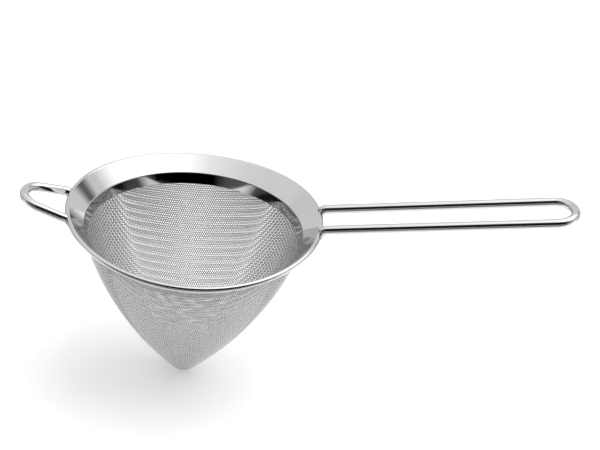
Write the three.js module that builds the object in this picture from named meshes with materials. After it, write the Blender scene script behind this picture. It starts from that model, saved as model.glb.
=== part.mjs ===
// Conical tea strainer in stainless steel, in millimetres, +Z up.
// The origin is the centre of the rim, on the plane through the middle of its rolled edge.
// The long handle runs along +X, the short rest hook along -X, and the plane Y = 0 is a mirror plane.
import * as THREE from 'three';

// Pressed rim: a sloping flange with a rolled edge outside and a short, steep neck inside.
const RIM_RADIUS = 40;
const BEAD_RADIUS = 0.8;
const RIM_SHEET = 0.4;
const FLANGE_SLOPE = THREE.MathUtils.degToRad(44);
const CURL_END = THREE.MathUtils.degToRad(-144);
const CURL_STEP = THREE.MathUtils.degToRad(36);
const NECK_TAPER = 0.36;
const NECK_BEND = 0.6;
const NECK_BOTTOM = -7.3;

// Woven cone: its edge lies against the outside of the neck, then the wall sweeps in to a rounded tip.
const MESH_THICKNESS = 0.4;
const MESH_EDGE_TOP = -4.6;
const CONE_TOP = -7;
const CONE_TOP_RADIUS = 33.65;
const TAPER_AT_TOP = 0.31;
const TAPER_AT_TIP = 0.94;
const TIP_RADIUS = 5.4;

// Clamp ring: a narrow band under the flange that presses the edge of the mesh against the neck from outside.
const RING_THICKNESS = 0.3;
const RING_TOP = -4.3;
const RING_BOTTOM = -5.6;

// Clear space between two pieces that touch on the real object.
const CONTACT_GAP = 0.25;

// Round wire of the handle and of the rest hook.
const WIRE_RADIUS = 1.45;
const WIRE_SIDES = 12;

// Handle: two nearly parallel rods joined by a half-round end.
const HANDLE_RISE = THREE.MathUtils.degToRad(6.9);
const HANDLE_HEIGHT = 2.3;
const HANDLE_REACH = 78;
const HANDLE_HALF_GAP_AT_RIM = 6.1;
const HANDLE_HALF_GAP_AT_END = 6.4;

// Rest hook: a short loop that narrows towards its round end.
const HOOK_RISE = THREE.MathUtils.degToRad(15);
const HOOK_HEIGHT = 1.1;
const HOOK_REACH = 12.6;
const HOOK_HALF_GAP_AT_RIM = 7.8;
const HOOK_HALF_GAP_AT_END = 5.9;

// Each wire end dips under the rolled edge and lies along the underside of the flange.
const DIP_OUTSIDE_RIM = 1.7;
const DIP_BOTTOM_OUTSIDE_RIM = 0.9;
const DIP_BOTTOM = -2.5;
const WELD_INSIDE_RIM = 3.3;
const WELD_HEIGHT = -4.3;
const DIP_FILLET = 1.7;

const RIM_SEGMENTS = 60;
const LATHE_PHASE = Math.PI / RIM_SEGMENTS;

const polished = () => new THREE.MeshStandardMaterial({ color: 0xd9dadb, roughness: 0.08, metalness: 1 });
const woven = () => new THREE.MeshStandardMaterial({ color: 0xb4b5b6, roughness: 0.35, metalness: 1 });
const drawn = () => new THREE.MeshStandardMaterial({ color: 0xcfd0d1, roughness: 0.12, metalness: 1 });

// Points on an arc in the (radius, height) plane.
function arc(centreR, centreZ, radius, from, to, steps) {
  const points = [];
  for (let i = 0; i <= steps; i += 1) {
    const angle = from + ((to - from) * i) / steps;
    points.push(new THREE.Vector2(centreR + radius * Math.cos(angle), centreZ + radius * Math.sin(angle)));
  }
  return points;
}

// A ring turned about the Z axis from a closed section in the (radius, height) plane.
function turnedRing(section) {
  const closed = [...section, section[0].clone()];
  const geometry = new THREE.LatheGeometry(closed, RIM_SEGMENTS, LATHE_PHASE);
  return geometry.rotateX(Math.PI / 2);
}

// Radius at height z of a surface beside the neck, `offset` outside the middle of the mesh.
function neckRadius(z, offset) {
  return CONE_TOP_RADIUS + NECK_TAPER * (z - CONE_TOP) + offset * Math.hypot(1, NECK_TAPER);
}

function rimGeometry() {
  const bead = new THREE.Vector2(RIM_RADIUS - BEAD_RADIUS, 0);
  const hollow = BEAD_RADIUS - RIM_SHEET;
  const acrossFlange = FLANGE_SLOPE + Math.PI / 2;
  const acrossNeck = Math.PI - Math.atan(NECK_TAPER);
  const topFacet = Math.PI / 2 + CURL_STEP / 2;
  const curlSteps = Math.round((topFacet - CURL_END) / CURL_STEP);
  const touch = (radius) => new THREE.Vector2(Math.cos(acrossFlange), Math.sin(acrossFlange))
    .multiplyScalar(radius)
    .add(bead);
  const neckOutside = -(MESH_THICKNESS / 2 + CONTACT_GAP);
  const neckInside = neckOutside - RIM_SHEET;
  const centre = neckBendCentre(touch(hollow - NECK_BEND), neckOutside + NECK_BEND);
  const bend = (radius) => arc(centre.x, centre.y, radius, acrossFlange, acrossNeck, 3);
  return turnedRing([
    new THREE.Vector2(neckRadius(NECK_BOTTOM, neckOutside), NECK_BOTTOM),
    ...bend(NECK_BEND).reverse(),
    touch(hollow),
    ...arc(bead.x, bead.y, hollow, topFacet, CURL_END, curlSteps),
    ...arc(bead.x, bead.y, BEAD_RADIUS, CURL_END, topFacet, curlSteps),
    touch(BEAD_RADIUS),
    ...bend(NECK_BEND + RIM_SHEET),
    new THREE.Vector2(neckRadius(NECK_BOTTOM, neckInside), NECK_BOTTOM),
  ]);
}

// Where the line through `start`, parallel to the flange, meets the line at `offset` beside the neck.
function neckBendCentre(start, offset) {
  const slope = new THREE.Vector2(Math.cos(FLANGE_SLOPE), Math.sin(FLANGE_SLOPE));
  const along = (neckRadius(start.y, offset) - start.x) / (slope.x - NECK_TAPER * slope.y);
  return slope.multiplyScalar(along).add(start);
}

function clampRingGeometry() {
  const inside = MESH_THICKNESS / 2 + CONTACT_GAP;
  const outside = inside + RING_THICKNESS;
  const corner = (z, offset) => new THREE.Vector2(neckRadius(z, offset), z);
  return turnedRing([
    corner(RING_BOTTOM, inside),
    corner(RING_BOTTOM, outside),
    corner(RING_TOP, outside),
    corner(RING_TOP, inside),
  ]);
}

// Wall of the cone, moved along its normal by `offset`, from the neck down to the tip on the axis.
function coneWall(offset) {
  const wallSteps = 9;
  const capSteps = 4;
  const tipSide = 1 / Math.hypot(1, TAPER_AT_TIP);
  const depth = (CONE_TOP_RADIUS - TIP_RADIUS * tipSide) / ((TAPER_AT_TOP + TAPER_AT_TIP) / 2);
  const points = [new THREE.Vector2(neckRadius(MESH_EDGE_TOP, offset), MESH_EDGE_TOP)];
  for (let i = 0; i <= wallSteps; i += 1) {
    const q = i / wallSteps;
    const taper = TAPER_AT_TOP + (TAPER_AT_TIP - TAPER_AT_TOP) * q;
    const radius = CONE_TOP_RADIUS - (depth * q * (TAPER_AT_TOP + taper)) / 2;
    const scale = offset / Math.hypot(1, taper);
    points.push(new THREE.Vector2(radius + scale, CONE_TOP - depth * q - scale * taper));
  }
  const capCentre = CONE_TOP - depth + TIP_RADIUS * tipSide * TAPER_AT_TIP;
  const capStart = -Math.atan(TAPER_AT_TIP);
  points.push(...arc(0, capCentre, TIP_RADIUS + offset, capStart, -Math.PI / 2, capSteps).slice(1));
  points[points.length - 1].x = 0;
  return points;
}

function meshConeGeometry() {
  const half = MESH_THICKNESS / 2;
  const profile = [...coneWall(half).reverse(), ...coneWall(-half)];
  const geometry = new THREE.LatheGeometry(profile, RIM_SEGMENTS, LATHE_PHASE);
  return geometry.rotateX(Math.PI / 2);
}

// A path through given points: straight between them, with the bends already sampled.
class SampledPath extends THREE.Curve {
  constructor(points) {
    super();
    this.points = points;
  }

  index(u) {
    return Math.round(u * (this.points.length - 1));
  }

  getPointAt(u, target = new THREE.Vector3()) {
    return target.copy(this.points[this.index(u)]);
  }

  getTangentAt(u, target = new THREE.Vector3()) {
    const i = this.index(u);
    const before = this.points[Math.max(i - 1, 0)];
    const after = this.points[Math.min(i + 1, this.points.length - 1)];
    return target.subVectors(after, before).normalize();
  }
}

// Rounds the corner of three points with a curve that starts and ends `reach` away from the corner.
function fillet(before, corner, after, reach) {
  const start = corner.clone().add(before.clone().sub(corner).setLength(reach));
  const end = corner.clone().add(after.clone().sub(corner).setLength(reach));
  return new THREE.QuadraticBezierCurve3(start, corner, end).getPoints(5);
}

// Half of a loop, on the +Y side: from the weld under the flange, round the dip, out to the round end.
function loopHalf(spec) {
  const reachX = Math.cos(spec.rise);
  const reachZ = Math.sin(spec.rise);
  const straight = spec.reach - spec.halfGapAtEnd;
  const onLoop = (along, y) => new THREE.Vector3(RIM_RADIUS + along * reachX, y, spec.height + along * reachZ);
  const spread = (spec.halfGapAtEnd - spec.halfGapAtRim) / straight;
  const weld = new THREE.Vector3(RIM_RADIUS - WELD_INSIDE_RIM, spec.halfGapAtRim, WELD_HEIGHT);
  const low = new THREE.Vector3(RIM_RADIUS + DIP_BOTTOM_OUTSIDE_RIM, spec.halfGapAtRim, DIP_BOTTOM);
  const high = onLoop(DIP_OUTSIDE_RIM, spec.halfGapAtRim + spread * DIP_OUTSIDE_RIM);
  const turn = Math.atan(-spread);
  const radius = spec.halfGapAtEnd / Math.cos(turn);
  const bendSteps = 8;
  const bend = [];
  for (let i = 0; i <= bendSteps; i += 1) {
    const angle = (Math.PI / 2 - turn) * (1 - i / bendSteps);
    bend.push(onLoop(straight + radius * Math.cos(angle), radius * Math.sin(angle)));
  }
  return [
    weld,
    ...fillet(weld, low, high, DIP_FILLET),
    ...fillet(low, high, bend[0], DIP_FILLET),
    ...bend,
  ];
}

function loopGeometry(spec) {
  const half = loopHalf(spec);
  const mirrored = half.slice(0, -1).reverse().map((p) => new THREE.Vector3(p.x, -p.y, p.z));
  const path = new SampledPath([...half, ...mirrored]);
  const corner = (i) => (2 * Math.PI * (i + 0.5)) / WIRE_SIDES;
  const section = new THREE.Shape(
    Array.from({ length: WIRE_SIDES }, (_, i) => new THREE.Vector2(
      WIRE_RADIUS * Math.cos(corner(i)),
      WIRE_RADIUS * Math.sin(corner(i)),
    )),
  );
  const steps = path.points.length - 1;
  return new THREE.ExtrudeGeometry(section, { steps, extrudePath: path, bevelEnabled: false });
}

function handleGeometry() {
  return loopGeometry({
    rise: HANDLE_RISE,
    height: HANDLE_HEIGHT,
    reach: HANDLE_REACH,
    halfGapAtRim: HANDLE_HALF_GAP_AT_RIM,
    halfGapAtEnd: HANDLE_HALF_GAP_AT_END,
  });
}

function restHookGeometry() {
  return loopGeometry({
    rise: HOOK_RISE,
    height: HOOK_HEIGHT,
    reach: HOOK_REACH,
    halfGapAtRim: HOOK_HALF_GAP_AT_RIM,
    halfGapAtEnd: HOOK_HALF_GAP_AT_END,
  });
}

function addPart(parent, name, geometry, material) {
  const mesh = new THREE.Mesh(geometry, material);
  mesh.name = name;
  parent.add(mesh);
  return mesh;
}

const group = new THREE.Group();
addPart(group, 'rim', rimGeometry(), polished());
addPart(group, 'clamp_ring', clampRingGeometry(), polished());
addPart(group, 'mesh_cone', meshConeGeometry(), woven());
addPart(group, 'handle', handleGeometry(), drawn());

const hookSide = new THREE.Group();
hookSide.rotation.z = Math.PI;
addPart(hookSide, 'rest_hook', restHookGeometry(), drawn());
group.add(hookSide);

export default group;
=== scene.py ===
import math

import bpy
import numpy as np
from mathutils import Matrix, Vector


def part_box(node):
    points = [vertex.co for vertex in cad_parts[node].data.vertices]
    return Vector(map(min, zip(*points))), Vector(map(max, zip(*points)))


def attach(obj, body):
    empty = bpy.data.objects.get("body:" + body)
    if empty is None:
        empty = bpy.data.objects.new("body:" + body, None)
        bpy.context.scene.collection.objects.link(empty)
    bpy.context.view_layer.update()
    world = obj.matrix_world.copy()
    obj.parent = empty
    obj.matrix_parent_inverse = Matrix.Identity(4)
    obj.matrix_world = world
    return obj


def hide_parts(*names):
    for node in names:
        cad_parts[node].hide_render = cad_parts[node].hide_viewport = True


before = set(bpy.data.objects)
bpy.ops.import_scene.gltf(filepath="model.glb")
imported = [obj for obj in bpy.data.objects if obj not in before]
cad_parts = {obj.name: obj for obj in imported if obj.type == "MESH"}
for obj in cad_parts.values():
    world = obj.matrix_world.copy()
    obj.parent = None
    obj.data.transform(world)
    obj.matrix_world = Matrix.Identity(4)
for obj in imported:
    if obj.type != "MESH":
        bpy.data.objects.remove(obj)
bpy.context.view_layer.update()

MM = 0.001

# Rim: a sloping flange between a rolled edge and a short, steep neck.
RIM_RADIUS = 40 * MM
BEAD_RADIUS = 0.82 * MM
RIM_SHEET = 0.4 * MM
FLANGE_SLOPE = math.radians(44)
CURL_END = math.radians(-150)
NECK_TAPER = 0.36
NECK_BEND = 0.6 * MM
NECK_BOTTOM = -7.3 * MM
NECK_OUTSIDE = -0.24 * MM
NECK_INSIDE = -0.78 * MM
LIP_HEIGHT = 0.15 * MM
LIP_WIDTH = 0.2 * MM
TURNED_STEPS = 360
SUPPORT_REACH = 0.03 * MM

# The real rim is slightly saddle-shaped: it rises at the handle and the hook, and falls between them.
WARP_AT_BEAD = 1.07 * MM
WARP_AT_NECK = 0.44 * MM
NECK_RADIUS = 33.8 * MM
WARP_FADE_TOP = -7 * MM
WARP_FADE_BOTTOM = -40 * MM

# Middle surface of the cloth, from the neck down to the rounded tip.
CONE_TOP = -7 * MM
CONE_TOP_RADIUS = 33.65 * MM
TAPER_AT_TOP = 0.31
TAPER_AT_TIP = 0.94
TIP_RADIUS = 5.4 * MM
CLOTH_EDGE = -4 * MM

# Woven wire cloth: a 2/2 twill whose wires run at 45 degrees to the handle over the tip.
WIRE_PITCH = 0.69 * MM
CLOTH_WIRE = 0.28 * MM
CLOTH_WIRE_SIDES = 6
CLOTH_TURN = math.radians(45)
FOLD_SOFTNESS = 2 * MM
DRAPE_ROUNDS = 40

# Clamp ring outside the neck.
RING_INSIDE = 0.24 * MM
RING_OUTSIDE = 0.6 * MM
RING_TOP = -3.7 * MM
RING_BOTTOM = -4.5 * MM
RING_ROUNDING = 0.12 * MM

# Round wire of the handle and the rest hook. Each leg drops a little to a shoulder at the rim's edge, and
# goes on as a flat tongue to its weld under the flange.
WIRE_RADIUS = 1.45 * MM
WIRE_SIDES = 32
HANDLE_RISE = math.radians(6.9)
HANDLE_HEIGHT = 2.33 * MM
HANDLE_DROP = 0.6 * MM
HANDLE_HALF_GAP_AT_RIM = 6.1 * MM
HANDLE_HALF_GAP_AT_END = 6.4 * MM
HOOK_RISE = math.radians(15)
HOOK_HEIGHT = 1.1 * MM
HOOK_DROP = 0.1 * MM
HOOK_HALF_GAP_AT_RIM = 7.8 * MM
HOOK_HALF_GAP_AT_END = 5.9 * MM
BEND_OUTSIDE_RIM = 1.4 * MM
BEND_STEPS = 8
LOOP_STEPS = 40
SHOULDER_INSIDE_RIM = 0.08 * MM
SHOULDER_ROUNDING = 0.12
TONGUE_TOP = 0.1 * MM
TONGUE_LIFT = 0.1 * MM
TONGUE_THICKNESS = 1.1 * MM
TONGUE_WIDTH = 3.6 * MM
WELD_INSIDE_RIM = 3.6 * MM
WELD_HEIGHT = -2.9 * MM

# Camera.
CAMERA_DISTANCE = 0.8
CAMERA_ELEVATION = math.radians(31.67)
CAMERA_YAW = math.radians(3.57)
CAMERA_ROLL = math.radians(5.97)
CAMERA_AIM = Vector((32.7, -1.5, 0.8)) * MM
CAMERA_LENS = 155.2
CAMERA_SENSOR = 36
CAMERA_CLIP_START = 0.05

# Studio: a white floor and surround with two soft lamps overhead, at (position, size, radiance).
FLOOR_HALF = 3.0
FLOOR_BELOW_TIP = 0.3 * MM
WORLD_STRENGTH = 1.0
SOFTBOXES = {
    "softbox_main": ((0.7, 0.23, 1.0), (1.6, 1.34), 2.0),
    "softbox_edge": ((-0.35, 0.23, 1.0), (0.5, 1.34), 0.3),
}

# Polished steel reflects a dome of graded radiance and two cards on the floor whose graded colours are
# painted shade. Their ramps hold (position, level) stops. Azimuths run from +X towards +Y, and "across"
# and "deep" are X and Y in a plane one unit above the object.
DOME_RADIUS = 2.5
DOME_SEGMENTS = 64
DOME_RINGS = 32
LOWEST_LEVEL = 0.02
SURROUND = 0.86
SOFTBOX_GAIN = 1.1
SOFTBOX_ACROSS = ((-1.0, 0.08), (-0.6, 0.14), (-0.33, 0.27), (-0.15, 0.38), (0.35, 1), (1.1, 1), (1.8, 0))
SOFTBOX_DEEP = ((-0.5, 0), (-0.4, 1), (0.75, 1), (1.1, 0))
FRONT_DARK_DEEP = ((-4, 0.99), (-1.2, 0.98), (-0.78, 0.96), (-0.5, 0.85), (-0.4, 0))
FRONT_DARK_ELEVATION = ((-90, 1), (12, 1), (20, 0))
FRONT_DARK_AZIMUTH = (
    (-180, 0.65), (-150, 0.85), (-122, 0.88), (-108, 1), (-48, 1), (-35, 0.87), (-14, 0.5),
    (0, 0.35), (25, 0.2), (40, 0), (150, 0), (165, 0.6), (180, 0.65),
)
STREAK_AZIMUTH = ((30, 0), (37, 1), (46, 1), (53, 0))
STREAK_ELEVATION = ((10, 0), (15, 0.8), (20, 0.8), (27, 0))
# The front card's colour is painted shade: the floor in front darkens away from the object, seen only in
# the steel's reflections.
FRONT_CARD = (
    (-0.5, 0.01), (-0.3, 0.02), (-0.16, 0.08), (-0.1, 0.3), (-0.065, 0.6), (-0.03, 0.85), (-0.005, 0.9),
)
FRONT_CARD_SIDES = (-0.5, 0.6)
# The back card's colour is painted shade: a greyer floor behind the object, seen only in reflections, which
# gives the steel's edges grey outlines.
BACK_CARD = ((0.03, 0.8), (0.06, 0.45), (0.1, 0.3), (0.45, 0.3), (0.6, 0.6))
BACK_CARD_SIDES = (-0.6, 0.7)

# Finishes: colour, roughness, how far the roughness wanders, grain per metre and strength of the grain.
POLISHED_SHEET = ((0.62, 0.62, 0.625), 0.05, 0.02, (300, 300, 300), 0.05)
POLISHED_WIRE = ((0.62, 0.62, 0.625), 0.06, 0.02, (60, 900, 900), 0.05)
WOVEN_WIRE = ((0.67, 0.67, 0.675), 0.12, 0.03, (2000, 2000, 2000), 0.05)
GRAIN_DEPTH = 0.01 * MM
GRAIN_DETAIL = 4


# ---------------------------------------------------------------- mesh helpers

def mesh_object(name, vertices, quads, material):
    """A smooth-shaded mesh of quads, riding on the one body of the frame."""
    quads = np.asarray(quads, dtype=np.int32)
    mesh = bpy.data.meshes.new(name)
    mesh.vertices.add(len(vertices))
    mesh.vertices.foreach_set("co", np.asarray(vertices, dtype=np.float32).ravel())
    mesh.loops.add(quads.size)
    mesh.loops.foreach_set("vertex_index", quads.ravel())
    mesh.polygons.add(len(quads))
    mesh.polygons.foreach_set("loop_start", np.arange(len(quads), dtype=np.int32) * 4)
    mesh.update(calc_edges=True)
    mesh.polygons.foreach_set("use_smooth", np.ones(len(quads), dtype=bool))
    mesh.validate()
    mesh.materials.append(material)
    piece = bpy.data.objects.new(name, mesh)
    bpy.context.scene.collection.objects.link(piece)
    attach(piece, "root")
    return piece


def warped(points):
    """Adds the saddle shape of the rim, which fades out down the cone."""
    radius = np.hypot(points[:, 0], points[:, 1])
    twice = 2 * np.arctan2(points[:, 1], points[:, 0])
    reach = (radius - NECK_RADIUS) / (RIM_RADIUS - NECK_RADIUS)
    rise = WARP_AT_NECK + (WARP_AT_BEAD - WARP_AT_NECK) * np.clip(reach, 0, 1)
    fade = np.clip((points[:, 2] - WARP_FADE_BOTTOM) / (WARP_FADE_TOP - WARP_FADE_BOTTOM), 0, 1)
    result = points.copy()
    result[:, 2] += rise * fade * np.cos(twice)
    return result


def arc(centre, radius, start, end, steps):
    """Points on an arc in the (radius, height) plane."""
    angles = np.linspace(start, end, steps + 1)
    return [(centre[0] + radius * math.cos(a), centre[1] + radius * math.sin(a)) for a in angles]


def supported(section):
    """Adds a point near each end of every long side, so that smooth shading keeps the sides flat."""
    reach = SUPPORT_REACH
    result = []
    for here, after in zip(section, section[1:] + section[:1]):
        result.append(here)
        side = math.dist(here, after)
        if side > 8 * reach:
            for t in (reach / side, 1 - reach / side):
                result.append((here[0] + (after[0] - here[0]) * t, here[1] + (after[1] - here[1]) * t))
    return result


def turned(name, section, material):
    """A ring turned about the Z axis from a closed section of (radius, height) points."""
    section = np.array(supported(section))
    count = len(section)
    angles = np.arange(TURNED_STEPS) * 2 * math.pi / TURNED_STEPS
    x = np.outer(np.cos(angles), section[:, 0])
    y = np.outer(np.sin(angles), section[:, 0])
    z = np.tile(section[:, 1], (TURNED_STEPS, 1))
    points = warped(np.stack([x, y, z], axis=-1).reshape(-1, 3))
    i, j = np.meshgrid(np.arange(TURNED_STEPS), np.arange(count), indexing="ij")
    i_next = (i + 1) % TURNED_STEPS
    j_next = (j + 1) % count
    corners = [i * count + j, i_next * count + j, i_next * count + j_next, i * count + j_next]
    quads = np.stack(corners, axis=-1).reshape(-1, 4)
    return mesh_object(name, points, quads, material)


def rounded_band(bottom, top, radius, steps=6):
    """A closed section: a band between two (inside, outside) point pairs, with rounded ends."""
    (bottom_in, bottom_out), (top_in, top_out) = bottom, top
    corners = [bottom_out, top_out, top_in, bottom_in]
    result = []
    for before, corner, after in zip(corners[-1:] + corners, corners, corners[1:] + corners[:1]):
        start = toward(corner, before, radius)
        end = toward(corner, after, radius)
        result += bezier(start, corner, end, steps)
    return result


def toward(point, other, distance):
    """The point at a distance from one point on the way to another."""
    t = distance / math.dist(point, other)
    return tuple(p + (o - p) * t for p, o in zip(point, other))


def bezier(start, corner, end, steps):
    """Points on the quadratic curve that rounds a corner."""
    result = []
    for k in range(steps + 1):
        t = k / steps
        weights = ((1 - t) ** 2, 2 * t * (1 - t), t * t)
        result.append(tuple(
            weights[0] * s + weights[1] * c + weights[2] * e for s, c, e in zip(start, corner, end)
        ))
    return result


# ---------------------------------------------------------------- rim and clamp ring

def neck_radius(z, offset):
    """Radius at height z of a surface beside the neck, `offset` outside the middle of the cloth."""
    return CONE_TOP_RADIUS + NECK_TAPER * (z - CONE_TOP) + offset * math.hypot(1, NECK_TAPER)


def neck_bend_centre(start, offset):
    """Where the line through start, parallel to the flange, meets the line beside the neck."""
    slope = (math.cos(FLANGE_SLOPE), math.sin(FLANGE_SLOPE))
    along = (neck_radius(start[1], offset) - start[0]) / (slope[0] - NECK_TAPER * slope[1])
    return start[0] + slope[0] * along, start[1] + slope[1] * along


def rim_section():
    """The rim's closed section: neck, flange and the sheet rolled outwards into a bead."""
    bead = (RIM_RADIUS - BEAD_RADIUS, 0.0)
    hollow = BEAD_RADIUS - RIM_SHEET
    across_flange = FLANGE_SLOPE + math.pi / 2
    across_neck = math.pi - math.atan(NECK_TAPER)

    def touch(radius):
        return bead[0] + radius * math.cos(across_flange), bead[1] + radius * math.sin(across_flange)

    outer_centre = neck_bend_centre(touch(hollow - NECK_BEND), NECK_OUTSIDE + NECK_BEND)
    inner_bend = NECK_BEND + RIM_SHEET
    inner_centre = neck_bend_centre(touch(BEAD_RADIUS - inner_bend), NECK_INSIDE + inner_bend)
    lip = bezier(
        (neck_radius(NECK_BOTTOM + LIP_HEIGHT, NECK_INSIDE), NECK_BOTTOM + LIP_HEIGHT),
        (neck_radius(NECK_BOTTOM, NECK_INSIDE), NECK_BOTTOM),
        (neck_radius(NECK_BOTTOM, NECK_OUTSIDE - LIP_WIDTH), NECK_BOTTOM),
        4,
    )
    return [
        *lip,
        (neck_radius(NECK_BOTTOM, NECK_OUTSIDE), NECK_BOTTOM),
        *reversed(arc(outer_centre, NECK_BEND, across_flange, across_neck, 8)),
        touch(hollow),
        *arc(bead, hollow, across_flange, CURL_END, 24)[1:],
        *arc(bead, BEAD_RADIUS, CURL_END, across_flange, 48),
        *arc(inner_centre, inner_bend, across_flange, across_neck, 12),
    ]


def clamp_ring_section():
    """A narrow band that lies along the outside of the cloth."""
    def pair(z):
        return (neck_radius(z, RING_INSIDE), z), (neck_radius(z, RING_OUTSIDE), z)

    return rounded_band(pair(RING_BOTTOM), pair(RING_TOP), RING_ROUNDING)


# ---------------------------------------------------------------- woven cloth

def cloth_profile():
    """Arc length, radius, height and outward normal of the cloth's middle surface, from the tip up."""
    tip_side = 1 / math.hypot(1, TAPER_AT_TIP)
    depth = (CONE_TOP_RADIUS - TIP_RADIUS * tip_side) / ((TAPER_AT_TOP + TAPER_AT_TIP) / 2)
    cap_centre = CONE_TOP - depth + TIP_RADIUS * tip_side * TAPER_AT_TIP
    cap_angle = np.linspace(-math.pi / 2, -math.atan(TAPER_AT_TIP), 200)
    q = np.linspace(1, 0, 800)[1:]
    wall_radius = CONE_TOP_RADIUS - depth * q * (2 * TAPER_AT_TOP + (TAPER_AT_TIP - TAPER_AT_TOP) * q) / 2
    neck_z = np.linspace(CONE_TOP, CLOTH_EDGE, 40)[1:]
    radius = np.concatenate([
        TIP_RADIUS * np.cos(cap_angle), wall_radius, CONE_TOP_RADIUS + NECK_TAPER * (neck_z - CONE_TOP),
    ])
    height = np.concatenate([cap_centre + TIP_RADIUS * np.sin(cap_angle), CONE_TOP - depth * q, neck_z])
    step = np.hypot(np.diff(radius), np.diff(height))
    length = np.concatenate([[0], np.cumsum(step)])
    normal_r = np.gradient(height, length)
    normal_z = -np.gradient(radius, length)
    return length, radius, height, normal_r, normal_z


def drape():
    """Crossing points of the two wire families, draped over the cone, with the surface normals.

    Each quadrant between two wires through the tip is an oblique net: the wires keep their directions
    while the angle between them closes from 90 degrees at the tip as the cone takes up the slack.
    """
    length, radius, height, normal_r, normal_z = cloth_profile()
    reach = int(length[-1] / WIRE_PITCH)
    steps = np.arange(-reach, reach + 1) * WIRE_PITCH
    a, b = np.meshgrid(steps, steps, indexing="ij")
    fold_a = np.hypot(a, FOLD_SOFTNESS) - FOLD_SOFTNESS
    fold_b = np.hypot(b, FOLD_SOFTNESS) - FOLD_SOFTNESS
    closing = np.divide(radius, length, out=np.ones_like(radius), where=length > 0) * math.pi / 2
    s = np.hypot(a, b)
    for _ in range(DRAPE_ROUNDS):
        crossing = np.interp(s, length, closing)
        s = np.sqrt(a * a + b * b + 2 * fold_a * fold_b * np.cos(crossing))
    crossing = np.interp(s, length, closing)
    along = np.abs(a) + np.abs(b) * np.cos(crossing)
    azimuth = np.arctan2(np.abs(b) * np.sin(crossing), along) * (math.pi / 2) / crossing
    azimuth = np.arctan2(np.sign(b) * np.sin(azimuth), np.where(a < 0, -1, 1) * np.cos(azimuth))
    azimuth += CLOTH_TURN
    r = np.interp(s, length, radius)
    points = np.stack([r * np.cos(azimuth), r * np.sin(azimuth), np.interp(s, length, height)], axis=-1)
    out = np.interp(s, length, normal_r)
    up = np.interp(s, length, normal_z)
    normals = np.stack([out * np.cos(azimuth), out * np.sin(azimuth), up], axis=-1)
    return points, normals, s < length[-1]


def wire_tube(points, normals):
    """Ring vertices and quads of one closed wire, with flat ends."""
    tangents = np.gradient(points, axis=0)
    tangents /= np.linalg.norm(tangents, axis=1, keepdims=True)
    sides = np.cross(tangents, normals)
    sides /= np.linalg.norm(sides, axis=1, keepdims=True)
    ups = np.cross(sides, tangents)
    angles = np.arange(CLOTH_WIRE_SIDES) * 2 * math.pi / CLOTH_WIRE_SIDES
    ring = (
        np.cos(angles)[None, :, None] * ups[:, None, :] + np.sin(angles)[None, :, None] * sides[:, None, :]
    )
    vertices = (points[:, None, :] + ring * CLOTH_WIRE / 2).reshape(-1, 3)
    count = len(points)
    i, k = np.meshgrid(np.arange(count - 1), np.arange(CLOTH_WIRE_SIDES), indexing="ij")
    k_next = (k + 1) % CLOTH_WIRE_SIDES
    first = i * CLOTH_WIRE_SIDES
    second = first + CLOTH_WIRE_SIDES
    quads = np.stack([first + k, second + k, second + k_next, first + k_next], axis=-1).reshape(-1, 4)
    last = (count - 1) * CLOTH_WIRE_SIDES
    ends = np.array([
        [0, 1, 2, 3],
        [0, 3, 4, 5],
        [last + 3, last + 2, last + 1, last],
        [last + 5, last + 4, last + 3, last],
    ])
    return vertices, np.concatenate([quads, ends])


def cloth_half(name, points, normals, inside, over, rows, material):
    """The wires of one family whose row numbers are in `rows`, joined into one mesh."""
    vertices = []
    quads = []
    total = 0
    for row in rows:
        columns = np.flatnonzero(inside[row])
        if len(columns) < 3:
            continue
        lift = np.where(over[row, columns], 1, -1)[:, None] * normals[row, columns] * CLOTH_WIRE / 2
        tube, faces = wire_tube(warped(points[row, columns]) + lift, normals[row, columns])
        vertices.append(tube)
        quads.append(faces + total)
        total += len(tube)
    return mesh_object(name, np.concatenate(vertices), np.concatenate(quads), material)


def woven_cloth(material):
    """The cloth as four pieces: the two halves of each family of wires."""
    points, normals, inside = drape()
    index = np.arange(len(points))
    over = (index[:, None] + index[None, :]) % 4 < 2
    middle = len(points) // 2
    halves = (("low", range(0, middle)), ("high", range(middle, len(points))))
    pieces = []
    for half, rows in halves:
        pieces.append(cloth_half(f"cloth_warp_{half}", points, normals, inside, over, rows, material))
    points = points.transpose(1, 0, 2)
    normals = normals.transpose(1, 0, 2)
    for half, rows in halves:
        pieces.append(cloth_half(f"cloth_weft_{half}", points, normals, inside.T, ~over.T, rows, material))
    return pieces


# ---------------------------------------------------------------- handle and rest hook

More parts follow.
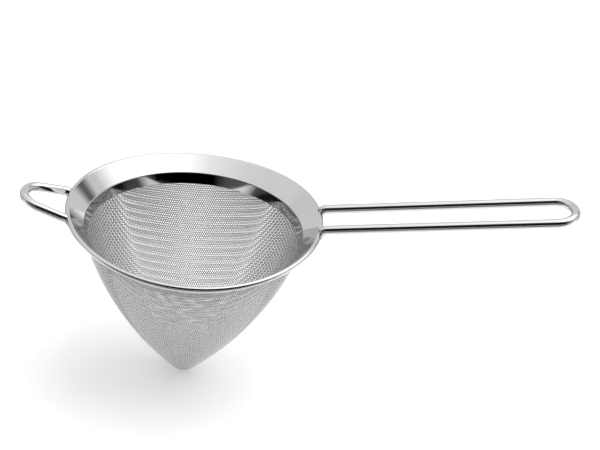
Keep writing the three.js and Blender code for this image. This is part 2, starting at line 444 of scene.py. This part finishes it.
def loop_path(reach, rise, height, drop, half_gap_at_rim, half_gap_at_end):
    """Centre line of a wire loop that points along +X, with its half thickness and half width.

    Each leg ends at the rim with a shoulder, beyond which it is a flat tongue under the flange. Distances
    near the rim are measured from the rim's edge, which bend_round_rim curves to follow.
    """
    straight = reach - half_gap_at_end
    spread = (half_gap_at_end - half_gap_at_rim) / straight
    turn = math.atan(-spread)
    radius = half_gap_at_end / math.cos(turn)

    def on_loop(along, y):
        return RIM_RADIUS + along * math.cos(rise), y, height + along * math.sin(rise)

    flat = TONGUE_THICKNESS / 2
    wide = TONGUE_WIDTH / 2
    tongue = (
        (-WELD_INSIDE_RIM, WELD_HEIGHT),
        (-WELD_INSIDE_RIM / 2, (WELD_HEIGHT + TONGUE_TOP) / 2 - flat),
        (-1.6 * SHOULDER_INSIDE_RIM, TONGUE_TOP),
        (-1.2 * SHOULDER_INSIDE_RIM, TONGUE_TOP + TONGUE_LIFT),
    )
    leg = [(RIM_RADIUS + x, half_gap_at_rim, z, flat, wide) for x, z in tongue]
    for k in range(BEND_STEPS + 1):
        t = k / BEND_STEPS
        x, y, z = on_loop(t * BEND_OUTSIDE_RIM - SHOULDER_INSIDE_RIM * (1 - t), half_gap_at_rim)
        full = WIRE_RADIUS * (1 - SHOULDER_ROUNDING * max(0, 1 - 4 * t) ** 2)
        leg.append((x, y, z - drop * (1 - t) ** 2, full, full))
    for k in range(LOOP_STEPS + 1):
        angle = (math.pi / 2 - turn) * (1 - k / LOOP_STEPS)
        x, y, z = on_loop(straight + radius * math.cos(angle), radius * math.sin(angle))
        leg.append((x, y, z, WIRE_RADIUS, WIRE_RADIUS))
    return np.array(leg + [(x, -y, z, thick, wide) for x, y, z, thick, wide in reversed(leg[:-1])])


def bend_round_rim(points):
    """Shifts the ends of the legs so that they follow the rim's circle, fading out along the legs."""
    outside = np.abs(points[:, 0]) - RIM_RADIUS
    near = np.clip((3 * BEND_OUTSIDE_RIM - outside) / (2 * BEND_OUTSIDE_RIM), 0, 1)
    aside = np.minimum(np.abs(points[:, 1]), RIM_RADIUS / 2)
    shift = RIM_RADIUS - np.sqrt(RIM_RADIUS ** 2 - aside ** 2)
    points[:, 0] -= np.sign(points[:, 0]) * near * shift
    return points


def swept_wire(name, path, material):
    """A closed wire along a path of centres, half thicknesses and half widths."""
    centres = path[:, :3]
    tangents = np.gradient(centres, axis=0)
    tangents /= np.linalg.norm(tangents, axis=1, keepdims=True)
    vertices = []
    angles = np.arange(WIRE_SIDES) * 2 * math.pi / WIRE_SIDES
    for centre, tangent, (thick, wide) in zip(centres, tangents, path[:, 3:]):
        axis = Vector(tangent)
        up = (Vector((0, 0, 1)) - axis * axis.z).normalized()
        side = axis.cross(up)
        ring = np.outer(np.cos(angles) * thick, up) + np.outer(np.sin(angles) * wide, side)
        vertices.append(centre + ring)
    count = len(centres)
    i, k = np.meshgrid(np.arange(count - 1), np.arange(WIRE_SIDES), indexing="ij")
    k_next = (k + 1) % WIRE_SIDES
    first = i * WIRE_SIDES
    second = first + WIRE_SIDES
    quads = np.stack([first + k, first + k_next, second + k_next, second + k], axis=-1).reshape(-1, 4)
    half = WIRE_SIDES // 2
    last = (count - 1) * WIRE_SIDES
    ends = []
    for m in range(half - 1):
        strip = [m, m + 1, WIRE_SIDES - 2 - m, WIRE_SIDES - 1 - m]
        ends.append(list(reversed(strip)))
        ends.append([last + v for v in strip])
    points = bend_round_rim(np.concatenate(vertices))
    return mesh_object(name, points, np.concatenate([quads, ends]), material)


# ---------------------------------------------------------------- materials

class Maths:
    """Builds the math nodes of one material."""

    def __init__(self, tree):
        self.tree = tree

    def node(self, kind, *inputs, **settings):
        node = self.tree.nodes.new(kind)
        for name, value in settings.items():
            setattr(node, name, value)
        for socket, value in zip(node.inputs, inputs):
            if isinstance(value, (int, float)):
                socket.default_value = value
            else:
                self.tree.links.new(value, socket)
        return node

    def do(self, operation, *inputs):
        return self.node("ShaderNodeMath", *inputs, operation=operation).outputs[0]

    def ramp(self, value, stops):
        """The level read off straight lines through (position, level) stops."""
        low, high = stops[0][0], stops[-1][0]
        scaled = self.do("DIVIDE", self.do("SUBTRACT", value, low), high - low)
        node = self.node("ShaderNodeValToRGB", scaled)
        elements = node.color_ramp.elements
        while len(elements) < len(stops):
            elements.new(0.5)
        for k, (position, level) in enumerate(stops):
            elements[k].position = (position - low) / (high - low)
            elements[k].color = (level, level, level, 1)
        return node.outputs["Color"]


def steel(name, colour, roughness, spread, grain, bump):
    """Stainless steel whose roughness wanders a little and whose surface has a fine grain."""
    material = bpy.data.materials.new(name)
    material.use_nodes = True
    nodes = material.node_tree.nodes
    links = material.node_tree.links
    shader = nodes["Principled BSDF"]
    shader.inputs["Base Color"].default_value = (*colour, 1)
    shader.inputs["Metallic"].default_value = 1
    coordinates = nodes.new("ShaderNodeTexCoord")
    mapping = nodes.new("ShaderNodeMapping")
    mapping.inputs["Scale"].default_value = grain
    links.new(coordinates.outputs["Object"], mapping.inputs["Vector"])
    noise = nodes.new("ShaderNodeTexNoise")
    noise.inputs["Scale"].default_value = 1
    noise.inputs["Detail"].default_value = GRAIN_DETAIL
    links.new(mapping.outputs["Vector"], noise.inputs["Vector"])
    ramp = nodes.new("ShaderNodeMapRange")
    ramp.inputs["To Min"].default_value = roughness - spread
    ramp.inputs["To Max"].default_value = roughness + spread
    links.new(noise.outputs["Fac"], ramp.inputs["Value"])
    links.new(ramp.outputs["Result"], shader.inputs["Roughness"])
    relief = nodes.new("ShaderNodeBump")
    relief.inputs["Strength"].default_value = bump
    relief.inputs["Distance"].default_value = GRAIN_DEPTH
    links.new(noise.outputs["Fac"], relief.inputs["Height"])
    links.new(relief.outputs["Normal"], shader.inputs["Normal"])
    return material


# ---------------------------------------------------------------- studio

def flat_sheet(name, low, high, height):
    """A level rectangle, with a new material whose shader is returned beside it."""
    corners = [(low[0], low[1], 0), (high[0], low[1], 0), (high[0], high[1], 0), (low[0], high[1], 0)]
    mesh = bpy.data.meshes.new(name)
    mesh.from_pydata(corners, [], [(0, 1, 2, 3)])
    sheet = bpy.data.objects.new(name, mesh)
    sheet.location.z = height
    bpy.context.scene.collection.objects.link(sheet)
    material = bpy.data.materials.new(name)
    material.use_nodes = True
    mesh.materials.append(material)
    return sheet, material.node_tree.nodes["Principled BSDF"]


def make_floor():
    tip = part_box("mesh_cone")[0].z
    floor, shader = flat_sheet(
        "floor", (-FLOOR_HALF, -FLOOR_HALF), (FLOOR_HALF, FLOOR_HALF), tip - FLOOR_BELOW_TIP,
    )
    shader.inputs["Base Color"].default_value = (0.9, 0.9, 0.9, 1)
    shader.inputs["Roughness"].default_value = 0.9
    shader.inputs["Specular IOR Level"].default_value = 0.1


def reflection_only(thing):
    thing.visible_camera = False
    thing.visible_diffuse = False
    thing.visible_shadow = False


def make_card(name, sides, stops):
    """A flat card just over the floor, for reflections only, whose colour is painted shade along Y by
    (position, shade) stops.
    """
    low = (sides[0], stops[0][0])
    high = (sides[1], stops[-1][0])
    card, shader = flat_sheet(name, low, high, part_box("mesh_cone")[0].z)
    maths = Maths(shader.id_data)
    coordinates = maths.node("ShaderNodeTexCoord")
    y = maths.node("ShaderNodeSeparateXYZ", coordinates.outputs["Object"]).outputs["Y"]
    maths.tree.links.new(maths.ramp(y, stops), shader.inputs["Base Color"])
    shader.inputs["Roughness"].default_value = 1
    shader.inputs["Specular IOR Level"].default_value = 0
    reflection_only(card)


def make_world():
    world = bpy.data.worlds.new("studio")
    bpy.context.scene.world = world
    world.use_nodes = True
    background = world.node_tree.nodes["Background"]
    background.inputs["Color"].default_value = (1, 1, 1, 1)
    background.inputs["Strength"].default_value = WORLD_STRENGTH


def make_softbox(name, centre, size, radiance):
    """A rectangular lamp that shines straight down."""
    data = bpy.data.lights.new(name, "AREA")
    data.shape = "RECTANGLE"
    data.size, data.size_y = size
    data.energy = radiance * math.pi * size[0] * size[1]
    lamp = bpy.data.objects.new(name, data)
    lamp.location = centre
    lamp.visible_camera = False
    lamp.visible_glossy = False
    bpy.context.scene.collection.objects.link(lamp)


def make_dome():
    """What polished steel reflects: the surround, the softbox, the dark room in front and a dark streak."""
    bpy.ops.mesh.primitive_uv_sphere_add(
        radius=DOME_RADIUS, segments=DOME_SEGMENTS, ring_count=DOME_RINGS,
    )
    dome = bpy.context.object
    dome.name = "reflection_dome"
    material = bpy.data.materials.new("reflection_dome")
    material.use_nodes = True
    maths = Maths(material.node_tree)
    coordinates = maths.node("ShaderNodeTexCoord")
    direction = maths.node("ShaderNodeVectorMath", coordinates.outputs["Object"], operation="NORMALIZE")
    x, y, z = maths.node("ShaderNodeSeparateXYZ", direction.outputs[0]).outputs
    level = maths.do("MAXIMUM", z, LOWEST_LEVEL)
    across = maths.do("DIVIDE", x, level)
    deep = maths.do("DIVIDE", y, level)
    azimuth = maths.do("DEGREES", maths.do("ARCTAN2", y, x))
    elevation = maths.do("DEGREES", maths.do("ARCSINE", z))
    softbox = maths.do(
        "MULTIPLY", maths.ramp(across, SOFTBOX_ACROSS), maths.ramp(deep, SOFTBOX_DEEP),
    )
    low = maths.do(
        "MAXIMUM", maths.ramp(deep, FRONT_DARK_DEEP), maths.ramp(elevation, FRONT_DARK_ELEVATION),
    )
    dark = maths.do("MULTIPLY", maths.ramp(azimuth, FRONT_DARK_AZIMUTH), low)
    streak = maths.do(
        "MULTIPLY", maths.ramp(azimuth, STREAK_AZIMUTH), maths.ramp(elevation, STREAK_ELEVATION),
    )
    surround = maths.do("MULTIPLY", SURROUND, maths.do("SUBTRACT", 1, dark))
    surround = maths.do("MULTIPLY", surround, maths.do("SUBTRACT", 1, streak))
    radiance = maths.do("MULTIPLY_ADD", softbox, SOFTBOX_GAIN, surround)
    emission = maths.node("ShaderNodeEmission")
    material.node_tree.links.new(radiance, emission.inputs["Strength"])
    output = material.node_tree.nodes["Material Output"]
    material.node_tree.links.new(emission.outputs[0], output.inputs["Surface"])
    dome.data.materials.append(material)
    reflection_only(dome)


def make_camera():
    """The camera, aimed level with its elevation, then rolled about its axis and turned about Z."""
    right = Vector((1, 0, 0))
    down = Vector((0, -math.sin(CAMERA_ELEVATION), -math.cos(CAMERA_ELEVATION)))
    forward = Vector((0, math.cos(CAMERA_ELEVATION), -math.sin(CAMERA_ELEVATION)))
    right, down = (
        right * math.cos(CAMERA_ROLL) - down * math.sin(CAMERA_ROLL),
        right * math.sin(CAMERA_ROLL) + down * math.cos(CAMERA_ROLL),
    )
    turn = Matrix.Rotation(-CAMERA_YAW, 3, "Z")
    right, down, forward = (turn @ v for v in (right, down, forward))
    data = bpy.data.cameras.new("camera")
    data.lens = CAMERA_LENS
    data.sensor_width = CAMERA_SENSOR
    data.clip_start = CAMERA_CLIP_START
    camera = bpy.data.objects.new("camera", data)
    basis = Matrix((right, -down, -forward)).transposed().to_4x4()
    camera.matrix_world = Matrix.Translation(CAMERA_AIM - forward * CAMERA_DISTANCE) @ basis
    bpy.context.scene.collection.objects.link(camera)
    bpy.context.scene.camera = camera


# ---------------------------------------------------------------- the strainer

make_camera()
make_floor()
make_world()
for softbox_name, (softbox_centre, softbox_size, softbox_radiance) in SOFTBOXES.items():
    make_softbox(softbox_name, softbox_centre, softbox_size, softbox_radiance)
# Reflection-only cards on the floor, coloured with painted shade.
make_card("front_card", FRONT_CARD_SIDES, FRONT_CARD)
make_card("back_card", BACK_CARD_SIDES, BACK_CARD)
make_dome()
bpy.context.scene.view_settings.view_transform = "Standard"

sheet_steel = steel("polished_sheet_steel", *POLISHED_SHEET)
wire_steel = steel("polished_wire_steel", *POLISHED_WIRE)
cloth_steel = steel("woven_wire_steel", *WOVEN_WIRE)

rim = turned("rim_sheet", rim_section(), sheet_steel)
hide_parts("rim")
ring = turned("clamp_band", clamp_ring_section(), sheet_steel)
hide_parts("clamp_ring")
for piece in woven_cloth(cloth_steel):
    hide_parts("mesh_cone")

handle_reach = (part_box("handle")[1].x - WIRE_RADIUS - RIM_RADIUS) / math.cos(HANDLE_RISE)
handle_line = loop_path(
    handle_reach, HANDLE_RISE, HANDLE_HEIGHT, HANDLE_DROP, HANDLE_HALF_GAP_AT_RIM, HANDLE_HALF_GAP_AT_END,
)
handle = swept_wire("handle_wire", handle_line, wire_steel)
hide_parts("handle")

hook_reach = (-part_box("rest_hook")[0].x - WIRE_RADIUS - RIM_RADIUS) / math.cos(HOOK_RISE)
hook_line = loop_path(
    hook_reach, HOOK_RISE, HOOK_HEIGHT, HOOK_DROP, HOOK_HALF_GAP_AT_RIM, HOOK_HALF_GAP_AT_END,
)
hook_line[:, :2] *= -1
hook = swept_wire("rest_hook_wire", hook_line, wire_steel)
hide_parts("rest_hook")
